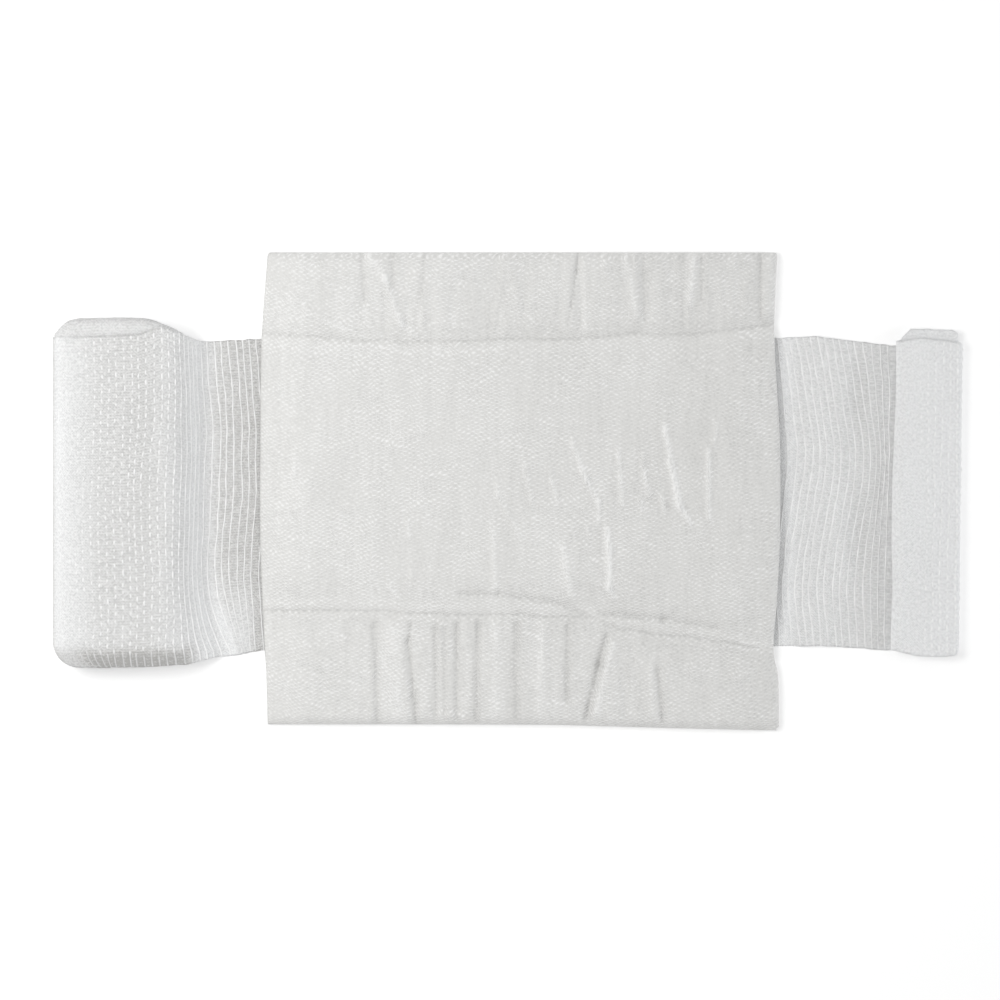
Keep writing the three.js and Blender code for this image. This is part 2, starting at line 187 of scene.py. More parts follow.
# Camera: the photograph is a square frame this wide on the surface
FRAME_WIDTH = 351.0
FRAME_CENTRE = (-7.55, -3.33)
CAMERA_HEIGHT = 1600.0
CAMERA_REACH = 20.0
SENSOR_WIDTH = 36.0


def table(columns, rows):
    """Rows of a table, each a dictionary under the names of the columns."""
    return [dict(zip(columns, row)) for row in rows]


# Pad outline: x of the side edges up the pad, as shares of half its width
SIDE_EDGES = table(["y", "left", "right"], [
    [-1.0, -0.989, 1.004],
    [-0.78, -0.994, 1.0],
    [-0.67, -1.0, 0.981],
    [-0.48, -1.008, 0.993],
    [-0.2, -1.018, 1.006],
    [0.2, -1.018, 1.006],
    [0.64, -1.012, 0.985],
    [1.0, -0.989, 0.997],
])

# Fold lines and the lower edge across the pad, as shares of half its length
FOLD_LINES = table(["x", "upper", "lower", "edge"], [
    [-1.0, 0.662, -0.502, -0.982],
    [-0.63, 0.628, -0.505, -0.982],
    [-0.42, 0.624, -0.515, -0.982],
    [0.1, 0.635, -0.528, -0.984],
    [0.26, 0.645, -0.528, -0.988],
    [0.4, 0.655, -0.583, -0.992],
    [0.66, 0.66, -0.614, -1.0],
    [1.0, 0.696, -0.674, -1.008],
])

# Arc of the wound turns' upper edge across the roll, as shares of half the bandage's width
ROLL_ARC = table(["x", "upper"], [
    [-164.0, 0.95],
    [-161.0, 1.005],
    [-157.0, 1.052],
    [-150.0, 1.066],
    [-131.0, 1.064],
    [-124.0, 1.025],
    [-117.5, 0.975],
])

# How far the crosswise threads bow along the cloth, in millimetres, by the share of half its width
THREAD_BOWS = table(["y", "left_strip", "right_strip"], [
    [-1.0, 0.4, -1.2],
    [-0.56, -1.3, -2.8],
    [-0.12, 0.3, 0.6],
    [0.27, 1.2, 3.2],
    [0.62, 0.2, 0.9],
    [1.0, -1.6, -2.4],
])

# How high the right strip bulges beyond its waves, in millimetres, by the share of half its width
STRIP_BULGES = table(["y", "rise"], [
    [-1.0, 0.2],
    [-0.62, 0.7],
    [-0.25, 1.7],
    [0.15, 0.3],
    [0.68, 1.6],
    [1.0, 0.4],
])

# Creases and ribs: ends as shares of half the pad's width and length, width and rise as shares of the
# nominal crease's
CREASES = table(["from_x", "from_y", "to_x", "to_y", "width", "rise"], [
    # Middle of the pad
    [0.01, 0.11, 0.045, -0.06, 1.0, 1.3],
    [0.107, 0.09, 0.12, 0.03, 0.9, 1.1],
    [0.12, 0.03, 0.146, -0.05, 0.9, 1.1],
    [0.197, 0.2, 0.252, 0.04, 1.1, 1.7],
    [0.252, 0.04, 0.3, -0.05, 1.0, 1.7],
    [0.3, -0.05, 0.3, -0.13, 1.0, 1.4],
    [0.376, 0.17, 0.392, -0.065, 1.0, 1.4],
    [0.47, 0.155, 0.478, 0.06, 0.9, 1.3],
    [0.478, 0.06, 0.495, -0.023, 0.9, 1.4],
    [0.556, 0.27, 0.58, 0.11, 1.2, 2.1],
    [0.58, 0.11, 0.614, -0.065, 1.2, 2.7],
    [0.614, -0.065, 0.655, -0.137, 1.1, 2.5],
    [0.544, -0.023, 0.558, -0.086, 0.8, 1.8],
    [0.458, -0.04, 0.474, -0.095, 0.8, 1.5],
    [0.727, 0.17, 0.727, -0.12, 1.0, 2.1],
    [0.759, 0.29, 0.747, 0.19, 0.9, 1.3],
    [0.256, -0.153, 0.267, -0.2, 0.8, 1.1],
    [0.333, -0.166, 0.341, -0.25, 1.1, 2.5],
    [0.341, -0.25, 0.341, -0.41, 1.1, 2.2],
    [0.341, -0.41, 0.357, -0.45, 1.0, 2.0],
    [0.16, -0.235, 0.19, -0.44, 1.8, 1.3],
    [-0.096, 0.04, -0.092, -0.02, 0.9, 1.1],
    [-0.092, -0.02, -0.006, -0.195, 1.0, 1.3],
    [-0.11, -0.17, -0.1, -0.41, 1.6, 1.0],
    [-0.883, 0.14, -0.883, 0.065, 0.8, 1.0],
    [-0.443, -0.13, -0.434, -0.2, 0.8, 1.0],
    [-0.427, -0.34, -0.427, -0.37, 0.8, 1.1],
    [-0.516, -0.4, -0.478, -0.455, 0.9, 1.1],
    # Upper margin
    [-0.84, 0.75, -0.7, 0.68, 0.9, 1.1],
    [-0.7, 0.68, -0.62, 0.645, 0.9, 0.9],
    [-0.591, 0.99, -0.53, 0.89, 1.8, 1.1],
    [-0.53, 0.89, -0.47, 0.7, 1.2, 1.7],
    [-0.47, 0.7, -0.411, 0.645, 1.0, 1.4],
    [-0.62, 0.7, -0.545, 0.65, 0.9, 0.7],
    [-0.314, 0.708, -0.135, 0.666, 0.9, 0.8],
    [0.22, 0.99, 0.213, 0.92, 0.8, -1.3],
    [0.213, 0.92, 0.193, 0.78, 0.8, -1.2],
    [0.193, 0.78, 0.181, 0.7, 0.8, -0.8],
    [0.245, 0.99, 0.25, 0.68, 1.4, 0.9],
    [0.404, 0.99, 0.447, 0.74, 1.8, 1.3],
    [0.47, 0.99, 0.48, 0.72, 1.2, -0.9],
    [0.669, 0.99, 0.653, 0.78, 1.8, 1.3],
    [0.7, 0.99, 0.7, 0.8, 1.0, -0.8],
    [0.93, 0.99, 0.93, 0.72, 1.1, -0.9],
    [0.965, 0.98, 0.96, 0.74, 2.0, 0.9],
    [-0.62, 0.99, -0.61, 0.8, 1.5, -0.9],
    [-0.5, 0.99, -0.5, 0.85, 1.6, -0.9],
    [-0.38, 0.99, -0.39, 0.78, 1.4, -0.7],
    # Lower margin
    [-0.571, -0.56, -0.56, -0.97, 1.6, -1.6],
    [-0.431, -0.56, -0.44, -0.63, 1.0, -1.2],
    [-0.44, -0.63, -0.408, -0.97, 1.3, -2.0],
    [-0.5, -0.58, -0.48, -0.95, 3.4, 0.9],
    [-0.333, -0.57, -0.333, -0.95, 1.5, -1.2],
    [-0.3, -0.58, -0.3, -0.95, 1.0, -0.9],
    [-0.252, -0.56, -0.252, -0.95, 1.3, -1.6],
    [-0.17, -0.56, -0.175, -0.95, 1.6, -1.7],
    [-0.1, -0.57, -0.1, -0.92, 2.4, 0.8],
    [-0.021, -0.56, -0.021, -0.95, 1.7, -1.7],
    [0.08, -0.57, 0.07, -0.92, 2.6, 0.8],
    [0.177, -0.56, 0.177, -0.88, 1.3, -1.5],
    [0.33, -0.61, 0.302, -0.73, 1.3, -2.2],
    [0.302, -0.73, 0.255, -0.95, 1.5, -2.4],
    [0.355, -0.64, 0.29, -0.93, 1.6, 1.3],
    [0.5, -0.72, 0.51, -0.95, 1.6, 1.1],
    [0.528, -0.75, 0.548, -0.96, 1.2, -1.5],
    # Secondary folds beside the lower fold line
    [-0.24, -0.435, -0.09, -0.435, 1.0, -1.0],
    [-0.09, -0.435, 0.135, -0.473, 1.0, -1.3],
    [0.135, -0.473, 0.236, -0.519, 1.0, -1.1],
    [0.306, -0.519, 0.552, -0.54, 1.1, -1.5],
    [0.552, -0.54, 0.759, -0.574, 1.1, -1.3],
    [0.856, -0.637, 0.985, -0.674, 1.0, 1.3],
])


def mix(start, end, share):
    """Straight blend: start where the share is 0, end where it is 1."""
    return start + (end - start) * share


def smooth(share):
    """Eased blend: 3 t^2 - 2 t^3 with t held between 0 and 1."""
    t = np.clip(share, 0.0, 1.0)
    return t * t * (3.0 - 2.0 * t)


def look_up(rows, key, column, at):
    """Smooth curve through the rows of a table: a cubic between two rows, with the slope at a row
    taken from its two neighbours."""
    keys = np.array([row[key] for row in rows])
    values = np.array([row[column] for row in rows])
    low = np.maximum(np.arange(len(keys)) - 1, 0)
    high = np.minimum(np.arange(len(keys)) + 1, len(keys) - 1)
    slopes = (values[high] - values[low]) / (keys[high] - keys[low])
    i = np.clip(np.searchsorted(keys, at) - 1, 0, len(keys) - 2)
    gap = keys[i + 1] - keys[i]
    t = np.clip((at - keys[i]) / gap, 0.0, 1.0)
    along = mix(values[i], values[i + 1], smooth(t))
    return along + gap * t * (1 - t) * ((1 - t) * slopes[i] - t * slopes[i + 1])


def along_rows(rows, column, s):
    """Straight lines between the rows of a table, by the length along the bandage."""
    return np.interp(s, [row["s"] for row in rows], [row[column] for row in rows])


def soft_noise(x, y, cell_x, cell_y, seed):
    """Smooth noise from -1 to 1: random values on a lattice of cells, eased between the corners."""
    lattice = np.random.default_rng(seed).uniform(-1.0, 1.0, (LATTICE_SIZE, LATTICE_SIZE))
    u = np.asarray(x) / cell_x + LATTICE_SHIFT
    v = np.asarray(y) / cell_y + LATTICE_SHIFT
    i = np.floor(u).astype(int)
    j = np.floor(v).astype(int)
    du = smooth(u - i)
    dv = smooth(v - j)
    after_i = (i + 1) % LATTICE_SIZE
    after_j = (j + 1) % LATTICE_SIZE
    i = i % LATTICE_SIZE
    j = j % LATTICE_SIZE
    near = mix(lattice[i, j], lattice[after_i, j], du)
    far = mix(lattice[i, after_j], lattice[after_i, after_j], du)
    return mix(near, far, dv)


def soft_ridges(x, y, cell_x, cell_y, seed):
    """Thin ridges from 0 to 1: (1 - 2.4 |n|)^2 of the smooth noise, held at 0 and above."""
    return np.clip(1 - 2.4 * np.abs(soft_noise(x, y, cell_x, cell_y, seed)), 0.0, 1.0) ** 2


# Meshes


def add_object(name, data):
    """New object in the scene from a mesh, a light or a camera."""
    made = bpy.data.objects.new(name, data)
    bpy.context.scene.collection.objects.link(made)
    return made


def finish_mesh(name, points, faces, uv=None, tone=None):
    """Mesh from an array of points in millimetres and arrays of faces, turned outwards: the volume
    under the faces, summed as tetrahedra from the origin, has to come out positive."""
    volume = 0.0
    for block in faces:
        corner = points[block]
        for k in range(1, block.shape[1] - 1):
            fan = np.cross(corner[:, k], corner[:, k + 1])
            volume += float(np.einsum("ij,ij->", corner[:, 0], fan))
    if volume < 0:
        faces = [block[:, ::-1] for block in faces]
    corners = np.concatenate([block.ravel() for block in faces]).astype(np.int32)
    sizes = np.concatenate([np.full(len(block), block.shape[1]) for block in faces])
    starts = np.concatenate([[0], np.cumsum(sizes)[:-1]]).astype(np.int32)
    mesh = bpy.data.meshes.new(name)
    mesh.vertices.add(len(points))
    mesh.vertices.foreach_set("co", (points * MM).astype(np.float32).ravel())
    mesh.loops.add(len(corners))
    mesh.loops.foreach_set("vertex_index", corners)
    mesh.polygons.add(len(starts))
    mesh.polygons.foreach_set("loop_start", starts)
    mesh.polygons.foreach_set("use_smooth", np.ones(len(starts), dtype=bool))
    if uv is not None:
        layer = mesh.uv_layers.new(name="cloth")
        layer.data.foreach_set("uv", (uv[corners] * MM).astype(np.float32).ravel())
    if tone is not None:
        attribute = mesh.attributes.new("tone", "FLOAT", "POINT")
        attribute.data.foreach_set("value", tone.astype(np.float32))
    mesh.update(calc_edges=True)
    mesh.validate()
    return add_object(name, mesh)


def slab_faces(rows, columns):
    """Quads of a closed slab: an upper and a lower grid of rows by columns, joined round the rim."""
    index = np.arange(rows * columns).reshape(rows, columns)
    below = index + rows * columns

    def grid(a):
        return np.stack([a[:-1, :-1], a[1:, :-1], a[1:, 1:], a[:-1, 1:]], axis=-1).reshape(-1, 4)

    rim_top = np.concatenate([index[0, :-1], index[:-1, -1], index[-1, :0:-1], index[:0:-1, 0]])
    rim_next = np.roll(rim_top, -1)
    rim = np.stack([rim_top, rim_next, rim_next + rows * columns, rim_top + rows * columns], axis=-1)
    return np.concatenate([grid(index), grid(below)[:, ::-1], rim])


def tube_faces(tubes, rings, sides):
    """Quads round a set of tubes of so many rings and sides, with a cap on each end."""
    index = np.arange(tubes * rings * sides).reshape(tubes, rings, sides)
    turned = np.roll(index, -1, axis=2)
    walls = np.stack([index[:, :-1], index[:, 1:], turned[:, 1:], turned[:, :-1]], axis=-1)
    caps = np.concatenate([index[:, 0, :], index[:, -1, ::-1]])
    return [walls.reshape(-1, 4), caps]


# Materials


def new_material(name, base, roughness, specular=0.3, sheen=0.0):
    """Principled material with its constant values on its own sockets."""
    material = bpy.data.materials.new(name)
    material.use_nodes = True
    shader = material.node_tree.nodes["Principled BSDF"]
    shader.inputs["Base Color"].default_value = (*base, 1.0)
    shader.inputs["Roughness"].default_value = roughness
    shader.inputs["Specular IOR Level"].default_value = specular
    shader.inputs["Sheen Weight"].default_value = sheen
    shader.inputs["Sheen Roughness"].default_value = 0.5
    return material, material.node_tree, shader


def node(tree, kind, inputs=(), **settings):
    """New node with its settings, and its inputs given as values or as sockets to link."""
    made = tree.nodes.new(kind)
    for key, value in settings.items():
        setattr(made, key, value)
    for key, value in dict(inputs).items():
        if isinstance(value, bpy.types.NodeSocket):
            tree.links.new(value, made.inputs[key])
        else:
            made.inputs[key].default_value = value
    return made


def maths(tree, operation, first, second=0.0, third=0.0):
    """Output of one Math node on sockets or numbers."""
    return node(tree, "ShaderNodeMath", {0: first, 1: second, 2: third}, operation=operation).outputs[0]


def ramp(tree, factor, stops):
    """Colour ramp from stops, each a position with a colour or a grey."""
    made = node(tree, "ShaderNodeValToRGB", {"Fac": factor})
    elements = made.color_ramp.elements
    while len(elements) < len(stops):
        elements.new(0.5)
    for element, (place, grey) in zip(elements, stops):
        element.position = place
        element.color = (*grey, 1.0) if isinstance(grey, tuple) else (grey, grey, grey, 1.0)
    return made.outputs["Color"]


def object_place(tree):
    """Place on the piece, in metres."""
    return node(tree, "ShaderNodeTexCoord").outputs["Object"]


def point_tone(tree):
    """The tone stored on the mesh's points: the piece's own whiteness together with painted light and
    shade.
    """
    return node(tree, "ShaderNodeAttribute", attribute_name="tone").outputs["Fac"]


def fine_noise(tree, place, scale, detail):
    """Noise texture over a place, so many cells to the metre."""
    return node(tree, "ShaderNodeTexNoise", {"Vector": place, "Scale": scale, "Detail": detail})


def add_bump(tree, shader, height, strength, distance):
    """Bump from a height, linked to the shader's normal."""
    bump = node(tree, "ShaderNodeBump", {"Height": height, "Strength": strength, "Distance": distance})
    tree.links.new(bump.outputs[0], shader.inputs["Normal"])


def pad_material():
    """White embossed nonwoven: staggered raised dots (0.5 + 0.5 cos(pi x / P) cos(2 pi y / Q))^2.2, with
    x and y leaning with the height and bent by noise. They fade in and out over a fine random fibre
    grain. The cover is whiter on the raised dots, a painted highlight, and takes the painted light and
    shade of its points' tone, among them painted highlights along creases."""
    material, tree, shader = new_material("nonwoven_cover", (0.8, 0.8, 0.79), 0.5, 0.4, 0.1)
    place = object_place(tree)
    bend = fine_noise(tree, place, 170.0, 1.0)
    shift = node(tree, "ShaderNodeVectorMath", {0: bend.outputs["Color"], 1: (0.5, 0.5, 0.5)},
                 operation="SUBTRACT").outputs[0]
    shift = node(tree, "ShaderNodeVectorMath", {0: shift, "Scale": 0.0026}, operation="SCALE").outputs[0]
    bent = node(tree, "ShaderNodeVectorMath", {0: place, 1: shift}, operation="ADD").outputs[0]
    parts = node(tree, "ShaderNodeSeparateXYZ", {0: bent})
    u = maths(tree, "MULTIPLY_ADD", parts.outputs[2], 0.8, parts.outputs[0])
    v = maths(tree, "MULTIPLY_ADD", parts.outputs[2], 0.9, parts.outputs[1])
    across = maths(tree, "COSINE", maths(tree, "MULTIPLY", u, math.pi / DOT_PITCH_X))
    down = maths(tree, "COSINE", maths(tree, "MULTIPLY", v, 2 * math.pi / DOT_PITCH_Y))
    pattern = maths(tree, "MULTIPLY_ADD", maths(tree, "MULTIPLY", across, down), 0.5, 0.5)
    patches = fine_noise(tree, place, 75.0, 3.0)
    strength = node(tree, "ShaderNodeMapRange",
                    {"Value": patches.outputs["Fac"], "From Min": 0.35, "From Max": 0.65, "To Min": 0.5,
                     "To Max": 1.3}).outputs[0]
    dots = maths(tree, "MULTIPLY", maths(tree, "POWER", pattern, 2.2), strength)
    fibres = fine_noise(tree, place, 1600.0, 3.0)
    height = maths(tree, "MULTIPLY_ADD", fibres.outputs["Fac"], 0.8, dots)
    add_bump(tree, shader, height, strength=1.0, distance=0.00017)
    mottle = fine_noise(tree, place, 950.0, 4.0)
    # Whiter on the raised dots: painted highlight, over a random mottle
    light = maths(tree, "MULTIPLY_ADD", dots, 0.7, maths(tree, "SUBTRACT", mottle.outputs["Fac"], 0.23))
    # The points' tone adds its painted light and shade
    light = maths(tree, "MULTIPLY_ADD", point_tone(tree), 0.34, light)
    colour = ramp(tree, light, [(0.0, (0.65, 0.647, 0.635)), (0.2, (0.73, 0.726, 0.712)),
                                (0.5, (0.79, 0.786, 0.772)), (0.9, (0.95, 0.948, 0.94))])
    tree.links.new(colour, shader.inputs["Base Color"])
    return material


def gauze_material():
    """Ground of the gauze between its crosswise threads: fine long threads and the gaps beside them,
    from sines of the cloth's own lengthwise and crosswise measure. It is whiter where layers lie on
    each other. Where nothing lies behind it, it is grey with painted shade for the shaded surface seen
    through the open weave, and a tone below 0 adds more painted shade. The tone also carries painted
    light and shade along the cloth."""
    material, tree, shader = new_material("gauze_ground", (0.7, 0.7, 0.7), 0.85, 0.15, 0.1)
    cloth = node(tree, "ShaderNodeUVMap", uv_map="cloth").outputs[0]
    parts = node(tree, "ShaderNodeSeparateXYZ", {0: cloth})
    place = object_place(tree)
    wander = fine_noise(tree, place, 350.0, 3.0)
    turns = 2 * math.pi / (LONG_THREAD_PITCH * MM)
    along = maths(tree, "MULTIPLY_ADD", wander.outputs["Fac"], 5.0,
                  maths(tree, "MULTIPLY", parts.outputs[0], turns))
    across = maths(tree, "MULTIPLY_ADD", wander.outputs["Fac"], 4.0,
                   maths(tree, "MULTIPLY", parts.outputs[1], turns))
    bands = maths(tree, "SINE", across)
    weave = maths(tree, "MULTIPLY", maths(tree, "SINE", along), bands)
    grain = fine_noise(tree, place, 1450.0, 3.0)
    height = maths(tree, "MULTIPLY_ADD", grain.outputs["Fac"], 1.6, weave)
    add_bump(tree, shader, height, strength=0.6, distance=0.00012)
    light = maths(tree, "MULTIPLY_ADD", weave, 0.12, grain.outputs["Fac"])
    tone = point_tone(tree)
    banded = maths(tree, "MULTIPLY_ADD", bands, 0.1, light)
    # A tone below 0 adds painted shade, most where the outer turn overhangs with nothing behind it
    banded = maths(tree, "MULTIPLY_ADD", maths(tree, "MINIMUM", tone, 0.0), 0.4, banded)
    # Single layer: grey painted shade for the shaded surface seen through the open weave
    single = ramp(tree, banded, [(0.3, (0.48, 0.475, 0.465)), (0.7, (0.78, 0.775, 0.765))])
    # Layers: whiter, as the cloth lies on more cloth
    many = ramp(tree, light, [(0.28, (0.76, 0.765, 0.77)), (0.62, (0.96, 0.965, 0.97))])
    blend = node(tree, "ShaderNodeMix", data_type="RGBA")
    tree.links.new(tone, blend.inputs["Factor"])
    tree.links.new(single, blend.inputs["A"])
    tree.links.new(many, blend.inputs["B"])
    tree.links.new(blend.outputs["Result"], shader.inputs["Base Color"])
    return material


def thread_material(name, dark, light):
    """Soft white yarn between two greys by its tone, with a grain of short fibres. The tone carries
    painted light and shade.
    """
    material, tree, shader = new_material(name, (0.84, 0.84, 0.84), 0.8, 0.2, 0.2)
    fibres = fine_noise(tree, object_place(tree), 1800.0, 3.0)
    add_bump(tree, shader, fibres.outputs["Fac"], strength=0.4, distance=0.0001)
    grain = maths(tree, "SUBTRACT", fibres.outputs["Fac"], 0.5)
    grain = maths(tree, "MULTIPLY_ADD", grain, 0.6, point_tone(tree))
    colour = ramp(tree, grain, [(0.0, dark), (1.0, light)])
    tree.links.new(colour, shader.inputs["Base Color"])
    return material


# Pad


def pad_side(y, side):
    """X of a side edge up the pad, drawn in at the rounded corners by 0.7 R (1 - sqrt(1 - t^2))."""
    into_corner = np.clip(1 - (HALF_LENGTH - np.abs(y)) / PAD_CORNER, 0.0, 1.0)
    drawn_in = 0.7 * PAD_CORNER * (1 - np.sqrt(1 - into_corner**2))
    edge = HALF_WIDTH * look_up(SIDE_EDGES, "y", side, y / HALF_LENGTH)
    return edge - np.sign(edge) * drawn_in


def pad_line(x, line):
    """One of the lines across the pad. The fold lines waver a little."""
    place = HALF_LENGTH * look_up(FOLD_LINES, "x", line, x / HALF_WIDTH)
    return place + LINE_WAVERS[line] * soft_noise(x, 0.0, 8.0, 1.0, 5)


def away_from(x, y, crease):
    """Distance from each point to a crease's straight line between its two ends."""
    start_x, start_y = crease["from_x"] * HALF_WIDTH, crease["from_y"] * HALF_LENGTH
    run_x = crease["to_x"] * HALF_WIDTH - start_x
    run_y = crease["to_y"] * HALF_LENGTH - start_y
    share = ((x - start_x) * run_x + (y - start_y) * run_y) / (run_x**2 + run_y**2)
    share = np.clip(share, 0.0, 1.0)
    return np.hypot(x - start_x - share * run_x, y - start_y - share * run_y)


def pad_underside(y):
    """Raised over the bandage and down on the surface past its two edges."""
    past_upper = smooth((y - BED_UPPER) / BED_SLOPE)
    past_lower = smooth((BED_LOWER - y) / BED_SLOPE)
    return PAD_BED * (1 - past_upper) * (1 - past_lower)


def sum_creases(x, y):
    """Sum of the creases, each a narrow ridge or valley exp(-(d / w)^1.4) along its line."""
    total = np.zeros_like(x)
    for crease in CREASES:
        away = away_from(x, y, crease) / (crease["width"] * CREASE_WIDTH)
        total += crease["rise"] * np.exp(-(away**1.4))
    return total


def pad_tucks(x, y):
    """Soft tucks that run up the two margins: noise drawn out along Y, with thin ridges on it. They
    are fainter at the left and the lower right, and higher on the upper margin."""
    bent = x + 1.8 * soft_noise(x, y, 22.0, 24.0, 15)
    tucks = 0.34 * soft_noise(bent, y, 4.4, 60.0, 11) + 0.16 * soft_noise(bent, y, 1.9, 30.0, 12)
    tucks = tucks + 0.38 * soft_ridges(bent, y, 6.2, 48.0, 16)
    reach = smooth((x + 74.0) / 26.0) * mix(1.0, 0.45, smooth((x - 40.0) / 12.0) * (y < 0))
    return tucks * mix(0.25, 1.0, reach) * mix(1.0, 1.5, smooth(y / 20.0))


def pad_middle(x, y):
    """Soft unevenness between the fold lines, with more small creases towards the lower right."""
    uneven = 0.07 * soft_noise(x, y, 2.4, 8.0, 13) + 0.16 * soft_noise(x, y, 9.0, 15.0, 14)
    creased = smooth((x + 10.0) / 60.0) * smooth((40.0 - y) / 50.0)
    return uneven + 0.2 * creased * soft_ridges(x, y, 6.0, 16.0, 17)


def to_fold_line(x, y):
    """Distance from the nearer fold line, positive between the two."""
    return np.minimum(pad_line(x, "upper") - y, y - pad_line(x, "lower"))


def to_side_edge(x, y):
    """Distance in from the nearer side edge."""
    return np.minimum(x - pad_side(y, "left"), pad_side(y, "right") - x)


def edge_rounding(x, y):
    """Rounding of the edges: the two shares sqrt(1 - (1 - t)^2), side and end, multiplied."""
    to_end = np.minimum(HALF_LENGTH - y, y - pad_line(x, "edge"))
    in_side = np.clip(to_side_edge(x, y) / EDGE_ROUNDING, 0.0, 1.0)
    in_end = np.clip(to_end / EDGE_ROUNDING, 0.0, 1.0)
    return np.sqrt(1 - (1 - in_side) ** 2) * np.sqrt(1 - (1 - in_end) ** 2)


def pad_upper_side(x, y):
    """Height of the upper side: a level middle and two lower margins, thinned towards the side edges,
    with a thin valley at each fold line, plus creases, tucks and the unevenness of the middle."""
    to_fold = to_fold_line(x, y)
    height = mix(MARGIN_THICKNESS, PAD_BED + PAD_THICKNESS, smooth(to_fold / FOLD_SHOULDER))
    height = height - SIDE_THINNING * (1 - smooth(to_side_edge(x, y) / SIDE_THINNING_REACH))
    height = height - FOLD_DEPTH * np.exp(-np.abs(to_fold / FOLD_WIDTH))
    height = height + CREASE_RISE * sum_creases(x, y)
    in_margin = smooth(-to_fold / MARGIN_BLEND)
    return height + in_margin * pad_tucks(x, y) + (1 - in_margin) * pad_middle(x, y)


def pad_top(x, y):
    """Upper side brought down over the rounded edge."""
    return mix(pad_underside(y) + EDGE_THICKNESS, pad_upper_side(x, y), edge_rounding(x, y))


def pad_painted_light_and_streaks(x, y):
    """Painted light and shade on the cover, with soft streaks of its own: painted highlights along
    creases and in a band just inside the fold lines, painted shade in valleys, along the fold lines, in a
    band just outside them and growing towards the right. The rim has painted shade, and a painted
    highlight at the right."""
    to_fold = to_fold_line(x, y)
    creases = sum_creases(x, y)
    # Painted highlight along the creases' ridges and painted shade in their valleys
    tone = 0.5 * np.clip(creases, -0.8, 2.0) + 0.25 * np.clip(creases * np.abs(creases), -0.8, 3.0)
    # Painted shade growing towards the right, where the light falls off
    tone = tone + mix(0.1, -0.2, smooth((x + 90.0) / 180.0))
    # Painted shade along the fold lines and in a band outside them, and a painted highlight in a band
    # inside them
    tone = tone - 0.9 * np.exp(-np.abs(to_fold / 0.55)) + 0.25 * np.exp(-(((to_fold - 2.6) / 2.4) ** 2))
    tone = tone - 0.22 * np.exp(-(((to_fold + 3.2) / 2.6) ** 2))
    streaks = 0.24 * soft_noise(x, y, 1.7, 12.0, 18) + 0.18 * soft_noise(x, y, 9.0, 20.0, 19)
    # Painted shade round the rim, and a painted highlight on the rim at the right edge
    rim = 1 - smooth(edge_rounding(x, y) / 0.7)
    return tone + streaks - mix(1.8, -0.4, smooth((x - 84.0) / 3.0)) * rim


def fine_spaced(length, step, start_steps, end_steps):
    """Shares from 0 to 1 along a length: the given fine steps at both ends and even steps between."""
    reach = length - start_steps[-1] - end_steps[-1]
    inner = start_steps[-1] + np.linspace(0, reach, max(2, round(reach / step)) + 1)[1:-1]
    return np.concatenate([start_steps, inner, length - np.array(end_steps[::-1])]) / length


def make_pad():
    """The pad's two sides on one grid: columns run from side edge to side edge. Rows run from the
    lower edge to the lower fold line, on to the upper fold line and on to the upper edge."""
    across = fine_spaced(PAD_WIDTH, PAD_STEP_X, OVER_EDGE, OVER_EDGE)
    nominal_x = mix(-HALF_WIDTH, HALF_WIDTH, across)[:, None]
    lines = [pad_line(nominal_x, "edge"), pad_line(nominal_x, "lower"), pad_line(nominal_x, "upper"),
             HALF_LENGTH + 0 * nominal_x]
    bands = [(OVER_EDGE, BESIDE_FOLD), (BESIDE_FOLD, BESIDE_FOLD), (BESIDE_FOLD, OVER_EDGE)]
    rows = []
    for low, high, (start_steps, end_steps) in zip(lines, lines[1:], bands):
        shares = fine_spaced(float(np.mean(high - low)), PAD_STEP_Y, start_steps, end_steps)
        rows.append(mix(low, high, shares[None, 0 if not rows else 1:]))
    y = np.concatenate(rows, axis=1)
    x = mix(pad_side(y, "left"), pad_side(y, "right"), across[:, None])
    upper = np.stack([x, y, pad_top(x, y)], axis=-1).reshape(-1, 3)
    lower = np.stack([x, y, pad_underside(y)], axis=-1).reshape(-1, 3)
    # Upper side with its painted light and streaks, underside with painted shade
    tone = np.concatenate([pad_painted_light_and_streaks(x, y).ravel(), np.full(x.size, UNDERSIDE_PAINTED_SHADE)])
    faces = slab_faces(*x.shape)
    return finish_mesh("absorbent_pad", np.concatenate([upper, lower]), [faces], tone=tone)


# Bandage: its middle line is walked in the XZ plane


def walk(start, runs, step):
    """Middle line as arrays. A straight run goes on to an x, a bend turns by an angle in degrees on its
    radius, and each run reaches the upper and lower edge it states, as shares of half the width."""
    rows = [[start["x"], start["z"], math.radians(start["heading"]), start["upper"], start["lower"]]]
    for run in runs:
        x, z, heading, upper, lower = rows[-1]
        if "turn" in run:
            length = abs(math.radians(run["turn"])) * run["radius"]
        else:
            length = abs(run["to_x"] - x) / abs(math.cos(heading))
        share = np.linspace(0, 1, max(2, math.ceil(length / step) + 1))[1:]
        if "turn" in run:
            turned = heading + math.radians(run["turn"]) * share
            side = math.copysign(run["radius"], run["turn"])
            new_x = x + side * (np.sin(turned) - math.sin(heading))
            new_z = z - side * (np.cos(turned) - math.cos(heading))
        else:
            turned = np.full(len(share), heading)
            new_x = x + length * share * math.cos(heading)
            new_z = z + length * share * math.sin(heading)
        edges = [mix(upper, run["upper"], share), mix(lower, run["lower"], share)]
        rows += np.stack([new_x, new_z, turned, *edges], axis=-1).tolist()
    table = np.array(rows)
    length = np.concatenate([[0], np.cumsum(np.hypot(*np.diff(table[:, :2], axis=0).T))])
    return {"s": length, "x": table[:, 0], "z": table[:, 1], "heading": table[:, 2],
            "upper": table[:, 3], "lower": table[:, 4]}


